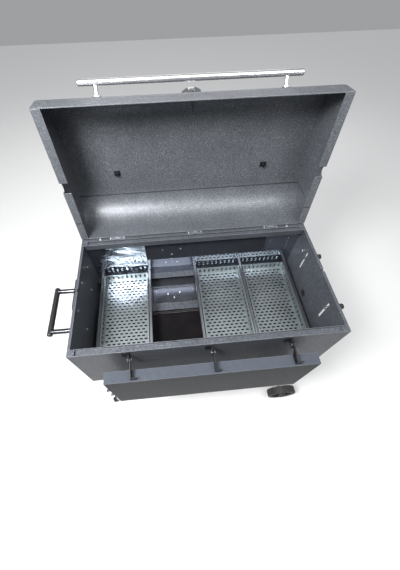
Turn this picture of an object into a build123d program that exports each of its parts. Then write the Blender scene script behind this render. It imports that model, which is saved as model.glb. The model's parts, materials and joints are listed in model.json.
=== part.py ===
"""Tray-fired smoker: a rectangular steel chest with a deep box lid, on a wheeled cart.

Millimetres, +X to the right, +Y to the back, +Z up.  The row's origin is the middle of the whole
smoker's footprint, on the floor.  Everything is drawn about the middle of the chest, and the last
lines move it there.  The lid is drawn standing open on its stops and the front shelf hanging down.
"""
import os
from math import cos, radians, sin

from build123d import *

os.makedirs("parts", exist_ok=True)

# ---------------------------------------------------------------- chest
CHEST_W = 1100.0          # outside, along X
CHEST_D = 568.0           # outside, along Y
CHEST_H = 361.0           # outside, rim to underside
RIM_Z = 920.0             # rim above the floor
SHEET = 3.0               # painted sheet steel
HEM = 8.0                 # folded edge along the top of each side wall
REAR_FLANGE = 16.0        # outward fold along the top of the rear wall, under the lid's back edge
FLANGE_NOTCH = 4.0        # room around each hinge and stop in that fold
LEDGE = 28.0              # width of the gutters along the front and rear rims, from outside
GUTTER_DEPTH = 10.0
GUTTER_RETURN = 30.0      # how far the gutter's inner face turns down
GUTTER_SHEET = 2.0
GUTTER_END = 28.0         # closed end of the gutter, in from the chest's corner
LINER = 1.2               # polished stainless sheet
SEAT_GAP = 0.5            # gap between loose or bolted sheets that lie side by side

# ---------------------------------------------------------------- charcoal trays and their rails
BAYS = 4
EMPTY_BAY = 1             # counted from the left, starting at 0
BAY_PITCH = 258.0
BAY_SHIFT = 4.0           # the row of bays sits a little to the right of the middle
TRAY_TOP = 256.0          # tray lip below the rim
TRAY_H = 50.0
TRAY_SHEET = 1.5
TRAY_LIP = 4.5
TRAY_LIFT = 240.0         # travel given to a tray that is lifted out
RAIL_W = 12.0
RAIL_SHEET = 2.0
TRAY_PLAY = 4.0           # between tray lip and rail
LEDGE_PLAY = 2.5          # between tray end and gutter
SLOT_L, SLOT_W = 16.5, 8.0
SLOT_PITCH_X, SLOT_PITCH_Y = 24.5, 17.5
WALL_SLOT_W, WALL_SLOT_H, WALL_SLOT_PITCH = 9.0, 28.0, 25.0
ANGLE_LEG = 34.0          # support angles under rails and trays
ANGLE_SHEET = 2.0

# ---------------------------------------------------------------- lid
LID_OPEN = 96.5           # degrees from shut to resting on the stops
LID_SIDE = 57.0           # straight part of the lid's front and back
LID_ROUND = 135.0         # shoulder radius
LID_GAP = 1.5             # between lid and rim when shut
LID_FLANGE = 30.0         # inward flange along each end of the lid
HINGE_OUT = 7.0           # hinge line behind the rear wall
KNUCKLE_R = 6.0
PIN_R = 2.5
RUNNING = 0.05            # radial clearance of a running fit
HINGE_X = (-380.0, 0.0, 380.0)
LEAF_W, LEAF_H, LEAF_T = 60.0, 42.0, 2.5
LEAF_MID = 20.0           # the lid's knuckle; the chest's are on both sides of it
STOP_X = 460.0
STOP_T = 5.0
SPIT_Y = 10.0             # spit notches, from the middle of the chest
SPIT_R = 7.0              # notch in the chest walls
LID_SPIT_R = 23.0         # wider notch in the lid
LID_HANDLE_X = 345.0
LID_HANDLE_ANGLE = 25.0   # place of the handle on the front shoulder
LID_HANDLE_R = 11.0
LID_POST_R = 7.0
LID_STANDOFF = 45.0
DIAL_ANGLE = 50.0
DIAL_R, DIAL_DEPTH = 40.0, 16.0
HOOK_X = 345.0            # rack hooks under the lid's top
HOOK_Y = 224.0            # from the lid's back

# ---------------------------------------------------------------- side fittings
GRIP_Y = 23.5             # middle of the left lift handle
GRIP_SPACING = 219.0
GRIP_Z = 195.0            # below the rim
GRIP_REACH = 168.0
GRIP_R = 13.0
POST_R = 12.0
BOLT_R = 4.0
BOLT_HEAD_R, BOLT_HEAD_H = 6.0, 4.0
BOLT_PLAY = 0.3
SPIT_BRACKET_W, SPIT_BRACKET_H, SPIT_BRACKET_T = 160.0, 58.0, 14.0
SPIT_BOLT_SPACING = 144.0
SPIT_BRACKET_Z = 52.0
SLIDE_SLOT_Y = (157.0, -128.0)
SLIDE_SLOT_TOP, SLIDE_SLOT_LENGTH, SLIDE_SLOT_W = 62.0, 120.0, 11.0
KNOB_Z = 100.0
KNOB_R, KNOB_L, KNOB_STANDOFF = 13.0, 26.0, 52.0
PORT_Y, PORT_Z, PORT_R = 33.0, 238.0, 12.0
PEG_Y, PEG_Z, PEG_R, PEG_L = 180.0, 66.0, 5.0, 16.0

# ---------------------------------------------------------------- front shelf
SHELF_W = 842.0
SHELF_H = 338.0
SHELF_T = 45.0
SHELF_DROP = 63.0         # top edge below the rim when hanging
SHELF_GAP = 51.0          # between chest and shelf when hanging
SHELF_SHEET = 2.0
ARM_X = (-318.0, 4.0, 320.0)
ARM_T = 4.0
PIVOT_OUT, PIVOT_DROP = 22.0, 32.0
PIVOT_EYE_R = 14.0
ARM_FLANGE = 24.0
PEG_DROPS_RIGHT = (116.0, 201.0, 285.0)    # tool pegs, below the shelf's top edge
PEG_DROPS_LEFT = (201.0, 285.0)
TOOL_PEG_R, TOOL_PEG_L = 4.0, 34.0

# ---------------------------------------------------------------- cart
LEG = 40.0
LEG_SHEET = 2.0
LEG_IN_X, LEG_Y = 55.0, 245.0
STRETCHER = 30.0
STRETCHER_Z = 230.0
WHEEL_R, WHEEL_W, WHEEL_Y = 84.0, 40.0, 335.0
TYRE_T, TREAD_DEPTH, TREAD_LUGS = 24.0, 5.0, 24
AXLE_R = 8.0
AXLE_CAP_R, AXLE_CAP_L = 12.0, 12.0
CASTER_R, CASTER_W = 37.5, 24.0
CASTER_TRAIL, CASTER_TURN = 40.0, 207.0
CASTER_PLATE, CASTER_PLATE_T = 64.0, 4.0
CASTER_AXLE_R = 4.0
FORK_SHEET = 3.0
FORK_TOP = 92.0

# ---------------------------------------------------------------- places that follow from these
BOTTOM_Z = RIM_Z - CHEST_H
FLOOR_TOP = BOTTOM_Z + SHEET
IN_X = CHEST_W / 2 - SHEET
IN_Y = CHEST_D / 2 - SHEET
LEDGE_Y = CHEST_D / 2 - LEDGE
LIP_Z = RIM_Z - TRAY_TOP
RAIL_TOP = LIP_Z - TRAY_SHEET - SEAT_GAP
ANGLE_TOP = LIP_Z - TRAY_H - SEAT_GAP
RAIL_XS = [BAY_SHIFT + (i - BAYS / 2) * BAY_PITCH for i in range(BAYS + 1)]
TRAY_W = BAY_PITCH - RAIL_W - 2 * (TRAY_PLAY + TRAY_LIP)
TRAY_D = 2 * (LEDGE_Y - LEDGE_PLAY)
HINGE = (0.0, CHEST_D / 2 + HINGE_OUT, RIM_Z)
LEG_X = CHEST_W / 2 - LEG_IN_X
SHELF_BACK = -CHEST_D / 2 - SHELF_GAP
SHELF_FRONT = SHELF_BACK - SHELF_T
SHELF_TOP = RIM_Z - SHELF_DROP
PIVOT_Y = -CHEST_D / 2 - PIVOT_OUT
PIVOT_Z = RIM_Z - PIVOT_DROP

LID = Plane(origin=HINGE, x_dir=(1, 0, 0), z_dir=(0, sin(radians(LID_OPEN)), cos(radians(LID_OPEN))))

pieces = []


def finish(builder, label):
    """Name a finished piece and keep it for writing."""
    builder.part.label = label
    pieces.append(builder.part)


def pair(a, b):
    return (min(a, b), max(a, b))


def slab(x, y, z, mode=Mode.ADD):
    """A block between three (low, high) pairs."""
    with Locations(((x[0] + x[1]) / 2, (y[0] + y[1]) / 2, (z[0] + z[1]) / 2)):
        Box(x[1] - x[0], y[1] - y[0], z[1] - z[0], mode=mode)


def rod_x(x, y, z, radius, mode=Mode.ADD):
    with Locations(Location(((x[0] + x[1]) / 2, y, z), (0, 90, 0))):
        Cylinder(radius, x[1] - x[0], mode=mode)


def rod_y(x, y, z, radius, mode=Mode.ADD):
    with Locations(Location((x, (y[0] + y[1]) / 2, z), (90, 0, 0))):
        Cylinder(radius, y[1] - y[0], mode=mode)


def rod_z(x, y, z, radius, mode=Mode.ADD):
    with Locations((x, y, (z[0] + z[1]) / 2)):
        Cylinder(radius, z[1] - z[0], mode=mode)


def side_plane(x, y=0.0, z=0.0):
    """Local x runs along +Y and local y along +Z; an extrusion goes towards +X."""
    return Plane(origin=(x, y, z), x_dir=(0, 1, 0), z_dir=(1, 0, 0))


def front_plane(y, x=0.0, z=0.0):
    """Local x runs along +X and local y along +Z; an extrusion goes towards -Y."""
    return Plane(origin=(x, y, z), x_dir=(1, 0, 0), z_dir=(0, -1, 0))


# ================================================================ chest
GRIP_YS = (GRIP_Y + GRIP_SPACING / 2, GRIP_Y - GRIP_SPACING / 2)
BRACKET_YS = (SPIT_Y + SPIT_BOLT_SPACING / 2, SPIT_Y - SPIT_BOLT_SPACING / 2)
LEFT_BOLTS = [(y, RIM_Z - GRIP_Z) for y in GRIP_YS] + [(y, RIM_Z - SPIT_BRACKET_Z) for y in BRACKET_YS]
HOLE_R = BOLT_R + BOLT_PLAY

for label, sign in (("front_wall", -1), ("rear_wall", 1)):
    with BuildPart() as end_wall:
        slab((-CHEST_W / 2, CHEST_W / 2), pair(sign * IN_Y, sign * CHEST_D / 2), (BOTTOM_Z, RIM_Z))
        if sign > 0:
            fold = (CHEST_D / 2, CHEST_D / 2 + REAR_FLANGE)
            slab((-CHEST_W / 2, CHEST_W / 2), fold, (RIM_Z - SHEET, RIM_Z))
            for x, width in [(x, LEAF_W) for x in HINGE_X] + [(x, STOP_T) for x in (-STOP_X, STOP_X)]:
                half = width / 2 + FLANGE_NOTCH
                slab((x - half, x + half), fold, (RIM_Z - SHEET, RIM_Z), Mode.SUBTRACT)
    finish(end_wall, label)

for label, sign in (("left_wall", -1), ("right_wall", 1)):
    with BuildPart() as side_wall:
        slab(pair(sign * IN_X, sign * CHEST_W / 2), (-IN_Y, IN_Y), (BOTTOM_Z, RIM_Z))
        slab(pair(sign * (IN_X - HEM), sign * IN_X), (-LEDGE_Y, LEDGE_Y), (RIM_Z - SHEET, RIM_Z))
        through = pair(sign * (IN_X - HEM - 1), sign * (CHEST_W / 2 + 1))
        rod_x(through, SPIT_Y, RIM_Z, SPIT_R, Mode.SUBTRACT)
        rod_x(through, PEG_Y, RIM_Z - PEG_Z, PEG_R, Mode.SUBTRACT)
        if sign < 0:
            for y, z in LEFT_BOLTS:
                rod_x(through, y, z, HOLE_R, Mode.SUBTRACT)
        else:
            rod_x(through, PORT_Y, RIM_Z - PORT_Z, PORT_R, Mode.SUBTRACT)
            slot_middle = RIM_Z - SLIDE_SLOT_TOP - SLIDE_SLOT_LENGTH / 2
            with BuildSketch(side_plane(IN_X, z=slot_middle)):
                with Locations(*[(y, 0) for y in SLIDE_SLOT_Y]):
                    SlotOverall(SLIDE_SLOT_LENGTH, SLIDE_SLOT_W, rotation=90)
            extrude(amount=SHEET, mode=Mode.SUBTRACT)
    finish(side_wall, label)

with BuildPart() as chest_floor:
    slab((-IN_X, IN_X), (-IN_Y, IN_Y), (BOTTOM_Z, FLOOR_TOP))
finish(chest_floor, "chest_floor")

GUTTER_FLOOR = RIM_Z - GUTTER_DEPTH
GUTTER_END_X = CHEST_W / 2 - GUTTER_END
for label, sign in (("front_gutter", -1), ("rear_gutter", 1)):
    with BuildPart() as gutter:
        across = pair(sign * LEDGE_Y, sign * IN_Y)
        inner = pair(sign * LEDGE_Y, sign * (LEDGE_Y + GUTTER_SHEET))
        slab((-GUTTER_END_X, GUTTER_END_X), across, (GUTTER_FLOOR - GUTTER_SHEET, GUTTER_FLOOR))
        slab((-IN_X, IN_X), inner, (RIM_Z - GUTTER_RETURN, RIM_Z))
        for end in (-1, 1):
            slab(pair(end * GUTTER_END_X, end * (GUTTER_END_X + GUTTER_SHEET)), across,
                 (GUTTER_FLOOR - GUTTER_SHEET, RIM_Z))
            slab(pair(end * GUTTER_END_X, end * IN_X), across, (RIM_Z - GUTTER_SHEET, RIM_Z))
    finish(gutter, label)

LINER_FRONT = IN_Y - LINER
with BuildPart() as rear_liner:
    for left, right in zip([-IN_X] + RAIL_XS[1:-1], RAIL_XS[1:-1] + [IN_X]):
        slab((left + SEAT_GAP, right - SEAT_GAP), (LINER_FRONT, IN_Y),
             (FLOOR_TOP, GUTTER_FLOOR - GUTTER_SHEET - SEAT_GAP))
finish(rear_liner, "rear_liner")

with BuildPart() as support_angles:
    for wall_y, sign in ((LINER_FRONT, 1), (-IN_Y, -1)):
        slab((-IN_X, IN_X), pair(wall_y, wall_y - sign * ANGLE_LEG), (ANGLE_TOP - ANGLE_SHEET, ANGLE_TOP))
        slab((-IN_X, IN_X), pair(wall_y, wall_y - sign * ANGLE_SHEET), (ANGLE_TOP - ANGLE_LEG, ANGLE_TOP))
finish(support_angles, "support_angles")

with BuildPart() as tray_rails:
    for x in RAIL_XS:
        slab((x - RAIL_W / 2, x + RAIL_W / 2), (-IN_Y, LINER_FRONT), (ANGLE_TOP, RAIL_TOP))
        slab((x - RAIL_W / 2 + RAIL_SHEET, x + RAIL_W / 2 - RAIL_SHEET), (-IN_Y, LINER_FRONT),
             (ANGLE_TOP, RAIL_TOP - RAIL_SHEET), Mode.SUBTRACT)
finish(tray_rails, "tray_rails")

# Polished deflector plates, a painted strip and the ash pan, side by side on the chest floor.
PLATE_EDGES = (LINER_FRONT, 212.0, 200.0, 107.0, 45.0)
PLATE_X = IN_X - SEAT_GAP
with BuildPart() as deflector_plates:
    for near, far in (PLATE_EDGES[1::-1], PLATE_EDGES[3:1:-1]):
        slab((-PLATE_X, PLATE_X), (near, far), (FLOOR_TOP, FLOOR_TOP + LINER))
finish(deflector_plates, "deflector_plates")

ASH_PAN_H = 16.0
ASH_LIP = 10.0
ASH_BACK = PLATE_EDGES[4]
with BuildPart() as ash_pan:
    slab((-PLATE_X, PLATE_X), (-IN_Y + SEAT_GAP, ASH_BACK), (FLOOR_TOP, FLOOR_TOP + ASH_PAN_H))
    slab((-PLATE_X + GUTTER_SHEET, PLATE_X - GUTTER_SHEET),
         (-IN_Y + SEAT_GAP + GUTTER_SHEET, ASH_BACK - GUTTER_SHEET),
         (FLOOR_TOP + GUTTER_SHEET, FLOOR_TOP + ASH_PAN_H), Mode.SUBTRACT)
    slab((-PLATE_X, PLATE_X), (ASH_BACK, ASH_BACK + ASH_LIP),
         (FLOOR_TOP + ASH_PAN_H - GUTTER_SHEET, FLOOR_TOP + ASH_PAN_H))
finish(ash_pan, "ash_pan")

# Bright bolt heads on the rear liner and the deflector in the empty bay, and the left wall's bolts.
LINER_BOLTS = ((-167.0, 101.0), (-75.0, 101.0), (-121.0, 141.0), (-121.0, 203.0))
DEFLECTOR_BOLTS = ((-160.0, 168.0), (-92.0, 172.0), (-125.0, 142.0))
STUD_R, STUD_H = 5.0, 2.5
with BuildPart() as chest_bolts:
    for x, drop in LINER_BOLTS:
        rod_y(x, (LINER_FRONT - STUD_H, LINER_FRONT), RIM_Z - drop, STUD_R)
    for x, y in DEFLECTOR_BOLTS:
        rod_z(x, y, (FLOOR_TOP + LINER, FLOOR_TOP + LINER + STUD_H), STUD_R)
    for y, z in LEFT_BOLTS:
        rod_x((-IN_X, -IN_X + BOLT_HEAD_H), y, z, BOLT_HEAD_R)
        rod_x((-CHEST_W / 2 - SPIT_BRACKET_T + 2, -IN_X), y, z, BOLT_R)
finish(chest_bolts, "chest_bolts")

with BuildPart() as grate_pegs:
    for sign in (-1, 1):
        rod_x(pair(sign * (IN_X - PEG_L), sign * CHEST_W / 2), PEG_Y, RIM_Z - PEG_Z, PEG_R)
finish(grate_pegs, "grate_pegs")


# ================================================================ charcoal trays
def tray_shape():
    """One perforated tray about X = 0: a slotted floor, four slotted walls and two side lips."""
    low = LIP_Z - TRAY_H
    half_w, half_d = TRAY_W / 2, TRAY_D / 2
    cols = int((TRAY_W - 2 * TRAY_SHEET - SLOT_L) // SLOT_PITCH_X) + 1
    rows = int((TRAY_D - 2 * TRAY_SHEET - SLOT_W) // (2 * SLOT_PITCH_Y))
    long_slots = int((TRAY_D - 2 * TRAY_LIP - WALL_SLOT_W) // WALL_SLOT_PITCH)
    short_slots = int((TRAY_W - 2 * TRAY_LIP - WALL_SLOT_W) // WALL_SLOT_PITCH) + 1
    with BuildPart() as tray:
        with BuildSketch(Plane.XY.offset(low)):
            Rectangle(TRAY_W, TRAY_D)
            with Locations((0, SLOT_PITCH_Y / 2)):
                with GridLocations(SLOT_PITCH_X, 2 * SLOT_PITCH_Y, cols, rows):
                    SlotOverall(SLOT_L, SLOT_W, mode=Mode.SUBTRACT)
            with Locations((0, -SLOT_PITCH_Y / 2)):
                with GridLocations(SLOT_PITCH_X, 2 * SLOT_PITCH_Y, cols - 1, rows):
                    SlotOverall(SLOT_L, SLOT_W, mode=Mode.SUBTRACT)
        extrude(amount=TRAY_SHEET)
        for sign in (-1, 1):
            with BuildSketch(side_plane(sign * (half_w - TRAY_SHEET / 2) - TRAY_SHEET / 2,
                                        z=LIP_Z - TRAY_H / 2)):
                Rectangle(TRAY_D, TRAY_H)
                with GridLocations(WALL_SLOT_PITCH, 0, long_slots, 1):
                    SlotOverall(WALL_SLOT_H, WALL_SLOT_W, rotation=90, mode=Mode.SUBTRACT)
            extrude(amount=TRAY_SHEET)
            with BuildSketch(front_plane(sign * (half_d - TRAY_SHEET / 2) + TRAY_SHEET / 2,
                                         z=LIP_Z - TRAY_H / 2)):
                Rectangle(TRAY_W, TRAY_H)
                with GridLocations(WALL_SLOT_PITCH, 0, short_slots, 1):
                    SlotOverall(WALL_SLOT_H, WALL_SLOT_W, rotation=90, mode=Mode.SUBTRACT)
            extrude(amount=TRAY_SHEET)
            slab(pair(sign * half_w, sign * (half_w + TRAY_LIP)), (-half_d, half_d),
                 (LIP_Z - TRAY_SHEET, LIP_Z))
    return tray.part


ONE_TRAY = tray_shape()
for number, bay in enumerate([b for b in range(BAYS) if b != EMPTY_BAY], start=1):
    placed_tray = Pos((RAIL_XS[bay] + RAIL_XS[bay + 1]) / 2, 0, 0) * ONE_TRAY
    placed_tray.label = f"charcoal_tray_{number}"
    pieces.append(placed_tray)


# ================================================================ lid
LID_BACK = -HINGE_OUT                     # the lid's own Y, from the hinge line; its front is further down
LID_FRONT = LID_BACK - CHEST_D
LID_TOP = LID_SIDE + LID_ROUND
SHOULDER_Y = LID_FRONT + LID_ROUND


def lid_side(x):
    """Plane of the lid's profile: local x is the lid's Y, local y its height above the rim."""
    return Plane(origin=LID.from_local_coords(Vector(x, 0, 0)), x_dir=LID.y_dir, z_dir=LID.x_dir)


def lid_outline(inset, base):
    """Edges of the lid's section, drawn inside its outer face by inset."""
    radius = LID_ROUND - inset
    rear, front = LID_BACK - inset, LID_FRONT + inset
    with BuildLine(mode=Mode.PRIVATE) as outline:
        Line((rear, base), (rear, LID_SIDE))
        CenterArc((LID_BACK - LID_ROUND, LID_SIDE), radius, 0, 90)
        Line((LID_BACK - LID_ROUND, LID_TOP - inset), (SHOULDER_Y, LID_TOP - inset))
        CenterArc((SHOULDER_Y, LID_SIDE), radius, 90, 90)
        Line((front, LID_SIDE), (front, base))
        Line((front, base), (rear, base))
    return outline.edges()


def shoulder_plane(x, angle):
    """Plane on the front shoulder's outer face, facing out of the lid."""
    y = SHOULDER_Y - LID_ROUND * cos(radians(angle))
    z = LID_SIDE + LID_ROUND * sin(radians(angle))
    out = LID.from_local_coords(Vector(x, y - cos(radians(angle)), z + sin(radians(angle))))
    spot = LID.from_local_coords(Vector(x, y, z))
    return Plane(origin=spot, x_dir=(1, 0, 0), z_dir=out - spot)


DIAL_STEM_R, DIAL_STEM_L = 3.5, 60.0
HANDLE_BOLT_R = 3.0
HANDLE_PLANES = [shoulder_plane(sign * LID_HANDLE_X, LID_HANDLE_ANGLE) for sign in (-1, 1)]
DIAL_PLANE = shoulder_plane(0, DIAL_ANGLE)

with BuildPart() as lid_shell:
    with BuildSketch(lid_side(-IN_X)):
        make_face(lid_outline(0, LID_GAP))
    extrude(amount=2 * IN_X)
    with BuildSketch(lid_side(-IN_X)):
        make_face(lid_outline(SHEET, LID_GAP - 1))
    extrude(amount=2 * IN_X, mode=Mode.SUBTRACT)
    for plane, radius in [(p, HANDLE_BOLT_R + BOLT_PLAY) for p in HANDLE_PLANES] + [
            (DIAL_PLANE, DIAL_STEM_R + BOLT_PLAY)]:
        with BuildSketch(plane.offset(-2 * SHEET)):
            Circle(radius)
        extrude(amount=4 * SHEET, mode=Mode.SUBTRACT)
finish(lid_shell, "lid_shell")

SPIT_LID_Y = SPIT_Y - HINGE[1]
for label, sign in (("lid_end_left", -1), ("lid_end_right", 1)):
    outer = sign * CHEST_W / 2
    with BuildPart(LID) as lid_end:
        with BuildSketch(lid_side(min(outer, sign * IN_X))):
            make_face(lid_outline(0, LID_GAP))
        extrude(amount=SHEET)
        slab(pair(sign * IN_X, sign * (IN_X - LID_FLANGE)), (LID_FRONT + SHEET, LID_BACK - SHEET),
             (LID_GAP, LID_GAP + SHEET))
        rod_x(pair(sign * (IN_X - LID_FLANGE - 1), outer + sign), SPIT_LID_Y, 0, LID_SPIT_R, Mode.SUBTRACT)
    finish(lid_end, label)

with BuildPart() as lid_handle:
    bar = HANDLE_PLANES[0].offset(LID_STANDOFF)
    overhang = 60.0
    with BuildSketch(Plane(origin=bar.origin - Vector(overhang, 0, 0), z_dir=(1, 0, 0))):
        Circle(LID_HANDLE_R)
    extrude(amount=2 * (LID_HANDLE_X + overhang))
    fillet(lid_handle.edges().filter_by(GeomType.CIRCLE), LID_HANDLE_R * 0.3)
finish(lid_handle, "lid_handle")

BASE_R, BASE_H = 16.0, 4.0
with BuildPart() as lid_handle_posts:
    for plane in HANDLE_PLANES:
        with BuildSketch(plane.offset(SEAT_GAP)):
            Circle(BASE_R)
        extrude(amount=BASE_H)
        with BuildSketch(plane.offset(SEAT_GAP)):
            Circle(LID_POST_R)
        extrude(amount=LID_STANDOFF - SEAT_GAP)
    with BuildSketch(Plane(origin=bar.origin - Vector(overhang, 0, 0), z_dir=(1, 0, 0))):
        Circle(LID_HANDLE_R)
    extrude(amount=2 * (LID_HANDLE_X + overhang), mode=Mode.SUBTRACT)
    for plane in HANDLE_PLANES:
        with BuildSketch(plane):
            Circle(HANDLE_BOLT_R)
        extrude(amount=LID_STANDOFF / 2, mode=Mode.SUBTRACT)
finish(lid_handle_posts, "lid_handle_posts")

NUT_R, NUT_H = 8.0, 6.0
with BuildPart() as lid_handle_bolts:
    for plane in HANDLE_PLANES:
        with BuildSketch(plane.offset(-SHEET - SEAT_GAP)):
            RegularPolygon(NUT_R, 6)
        extrude(amount=-NUT_H)
        with BuildSketch(plane.offset(-SHEET - SEAT_GAP)):
            Circle(HANDLE_BOLT_R)
        extrude(amount=LID_STANDOFF / 2 + SHEET)
finish(lid_handle_bolts, "lid_handle_bolts")

LENS_INSET, LENS_T = 5.0, 2.0
with BuildPart() as thermometer_case:
    with BuildSketch(DIAL_PLANE.offset(BASE_H)):
        Circle(DIAL_R)
    extrude(amount=DIAL_DEPTH)
    with BuildSketch(DIAL_PLANE.offset(BASE_H + DIAL_DEPTH - LENS_INSET)):
        Circle(DIAL_R - LENS_INSET)
    extrude(amount=LENS_INSET, mode=Mode.SUBTRACT)
    with BuildSketch(DIAL_PLANE.offset(-DIAL_STEM_L)):
        Circle(DIAL_STEM_R)
    extrude(amount=DIAL_STEM_L + BASE_H)
finish(thermometer_case, "thermometer_case")

with BuildPart() as thermometer_lens:
    with BuildSketch(DIAL_PLANE.offset(BASE_H + DIAL_DEPTH - LENS_T)):
        Circle(DIAL_R - LENS_INSET)
    extrude(amount=LENS_T)
finish(thermometer_lens, "thermometer_lens")

HOOK_W, HOOK_D, HOOK_H, HOOK_PIN_R = 28.0, 22.0, 18.0, 3.0
HOOK_LID_Y = LID_BACK - HOOK_Y
with BuildPart(LID) as rack_hooks:
    for sign in (-1, 1):
        under = LID_TOP - SHEET
        slab((sign * HOOK_X - HOOK_W / 2, sign * HOOK_X + HOOK_W / 2),
             (HOOK_LID_Y - HOOK_D / 2, HOOK_LID_Y + HOOK_D / 2), (under - HOOK_PIN_R, under))
        slab((sign * HOOK_X - HOOK_PIN_R, sign * HOOK_X + HOOK_PIN_R),
             (HOOK_LID_Y - HOOK_D / 2, HOOK_LID_Y + HOOK_D / 2), (under - HOOK_H, under))
        rod_x((sign * HOOK_X - HOOK_W / 3, sign * HOOK_X + HOOK_W / 3), HOOK_LID_Y - HOOK_D / 4,
              under - HOOK_H + HOOK_PIN_R, HOOK_PIN_R)
finish(rack_hooks, "rack_hooks")

# ---------------------------------------------------------------- hinges and stops
BORE_R = PIN_R + RUNNING
LEAF_START = KNUCKLE_R + 2.0
KNUCKLE_GAP = 0.5
with BuildPart() as chest_hinge_leaves:
    for x in HINGE_X:
        leaf_y = (CHEST_D / 2, CHEST_D / 2 + LEAF_T)
        slab((x - LEAF_W / 2, x + LEAF_W / 2), leaf_y, (RIM_Z - LEAF_H, RIM_Z - LEAF_START))
        for side in (-1, 1):
            reach = pair(x + side * (LEAF_MID / 2 + KNUCKLE_GAP), x + side * LEAF_W / 2)
            slab(reach, leaf_y, (RIM_Z - LEAF_START, RIM_Z))
            rod_x(reach, HINGE[1], RIM_Z, KNUCKLE_R)
        rod_x((x - LEAF_W / 2, x + LEAF_W / 2), HINGE[1], RIM_Z, BORE_R, Mode.SUBTRACT)
finish(chest_hinge_leaves, "chest_hinge_leaves")

with BuildPart(LID) as lid_hinge_leaves:
    for x in HINGE_X:
        leaf_y = (LID_BACK, LID_BACK + LEAF_T)
        slab((x - LEAF_W / 2, x + LEAF_W / 2), leaf_y, (LEAF_START, LEAF_H))
        middle = (x - LEAF_MID / 2, x + LEAF_MID / 2)
        slab(middle, leaf_y, (0, LEAF_START))
        rod_x(middle, 0, 0, KNUCKLE_R)
        rod_x(middle, 0, 0, BORE_R, Mode.SUBTRACT)
finish(lid_hinge_leaves, "lid_hinge_leaves")

with BuildPart() as hinge_pins:
    for x in HINGE_X:
        rod_x((x - LEAF_W / 2 - PIN_R, x + LEAF_W / 2 + PIN_R), HINGE[1], RIM_Z, PIN_R)
finish(hinge_pins, "hinge_pins")

STOP_NEAR, STOP_FAR = 14.0, 50.0          # along the lid's back, from the hinge line
with BuildPart() as lid_stops:
    rest_line = [LID.from_local_coords(Vector(0, LID_BACK + SEAT_GAP, h)) for h in (STOP_NEAR, STOP_FAR)]
    for x in (-STOP_X, STOP_X):
        with BuildSketch(side_plane(x - STOP_T / 2)):
            with BuildLine():
                Polyline((CHEST_D / 2, RIM_Z - 2 * LEAF_H), (rest_line[1].Y, rest_line[1].Z),
                         (rest_line[0].Y, rest_line[0].Z), (CHEST_D / 2, RIM_Z - LEAF_START), close=True)
            make_face()
        extrude(amount=STOP_T)
finish(lid_stops, "lid_stops")

# ================================================================ left side
GRIP_X = -CHEST_W / 2 - GRIP_REACH
GRIP_ENDS = (GRIP_YS[1] - POST_R - 8, GRIP_YS[0] + POST_R + 8)
with BuildPart() as handle_grip:
    rod_y(GRIP_X, GRIP_ENDS, RIM_Z - GRIP_Z, GRIP_R)
    fillet(handle_grip.edges().filter_by(GeomType.CIRCLE), GRIP_R * 0.45)
finish(handle_grip, "handle_grip")

WASHER_R, WASHER_T = 19.0, 3.0
POST_BORE_L = 14.0
with BuildPart() as handle_posts:
    for y in GRIP_YS:
        rod_x((GRIP_X, -CHEST_W / 2), y, RIM_Z - GRIP_Z, POST_R)
        rod_x((-CHEST_W / 2 - WASHER_T, -CHEST_W / 2), y, RIM_Z - GRIP_Z, WASHER_R)
        rod_x((-CHEST_W / 2 - POST_BORE_L, -CHEST_W / 2), y, RIM_Z - GRIP_Z, HOLE_R, Mode.SUBTRACT)
    rod_y(GRIP_X, GRIP_ENDS, RIM_Z - GRIP_Z, GRIP_R, Mode.SUBTRACT)
finish(handle_posts, "handle_posts")

with BuildPart() as spit_bracket:
    slab((-CHEST_W / 2 - SPIT_BRACKET_T, -CHEST_W / 2),
         (SPIT_Y - SPIT_BRACKET_W / 2, SPIT_Y + SPIT_BRACKET_W / 2),
         (RIM_Z - SPIT_BRACKET_Z - SPIT_BRACKET_H / 2, RIM_Z - SPIT_BRACKET_Z + SPIT_BRACKET_H / 2))
    fillet(spit_bracket.edges().filter_by(Axis.X), SPIT_BRACKET_T)
    for y in BRACKET_YS:
        rod_x((-CHEST_W / 2 - SPIT_BRACKET_T, -CHEST_W / 2), y, RIM_Z - SPIT_BRACKET_Z, HOLE_R,
              Mode.SUBTRACT)
finish(spit_bracket, "spit_bracket")

# ================================================================ right side
STUD_SCREW_R = 4.0
KNOB_X = CHEST_W / 2 + KNOB_STANDOFF
for number, y in enumerate(SLIDE_SLOT_Y, start=1):
    with BuildPart() as knob:
        rod_x((KNOB_X, KNOB_X + KNOB_L), y, RIM_Z - KNOB_Z, KNOB_R)
        fillet(knob.edges().filter_by(GeomType.CIRCLE), KNOB_R * 0.4)
        rod_x((KNOB_X, KNOB_X + KNOB_L / 2), y, RIM_Z - KNOB_Z, STUD_SCREW_R + RUNNING, Mode.SUBTRACT)
    finish(knob, f"clamp_knob_{number}")

SLEEVE_R = 8.0
SLEEVE_PLAY = 0.3
with BuildPart() as clamp_studs:
    for y in SLIDE_SLOT_Y:
        rod_x((IN_X, KNOB_X + KNOB_L / 2 - 1), y, RIM_Z - KNOB_Z, STUD_SCREW_R)
        rod_x((IN_X - BOLT_HEAD_H, IN_X), y, RIM_Z - KNOB_Z, SLEEVE_R)
        rod_x((CHEST_W / 2, KNOB_X - SLEEVE_PLAY), y, RIM_Z - KNOB_Z, SLEEVE_R)
finish(clamp_studs, "clamp_studs")

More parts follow.
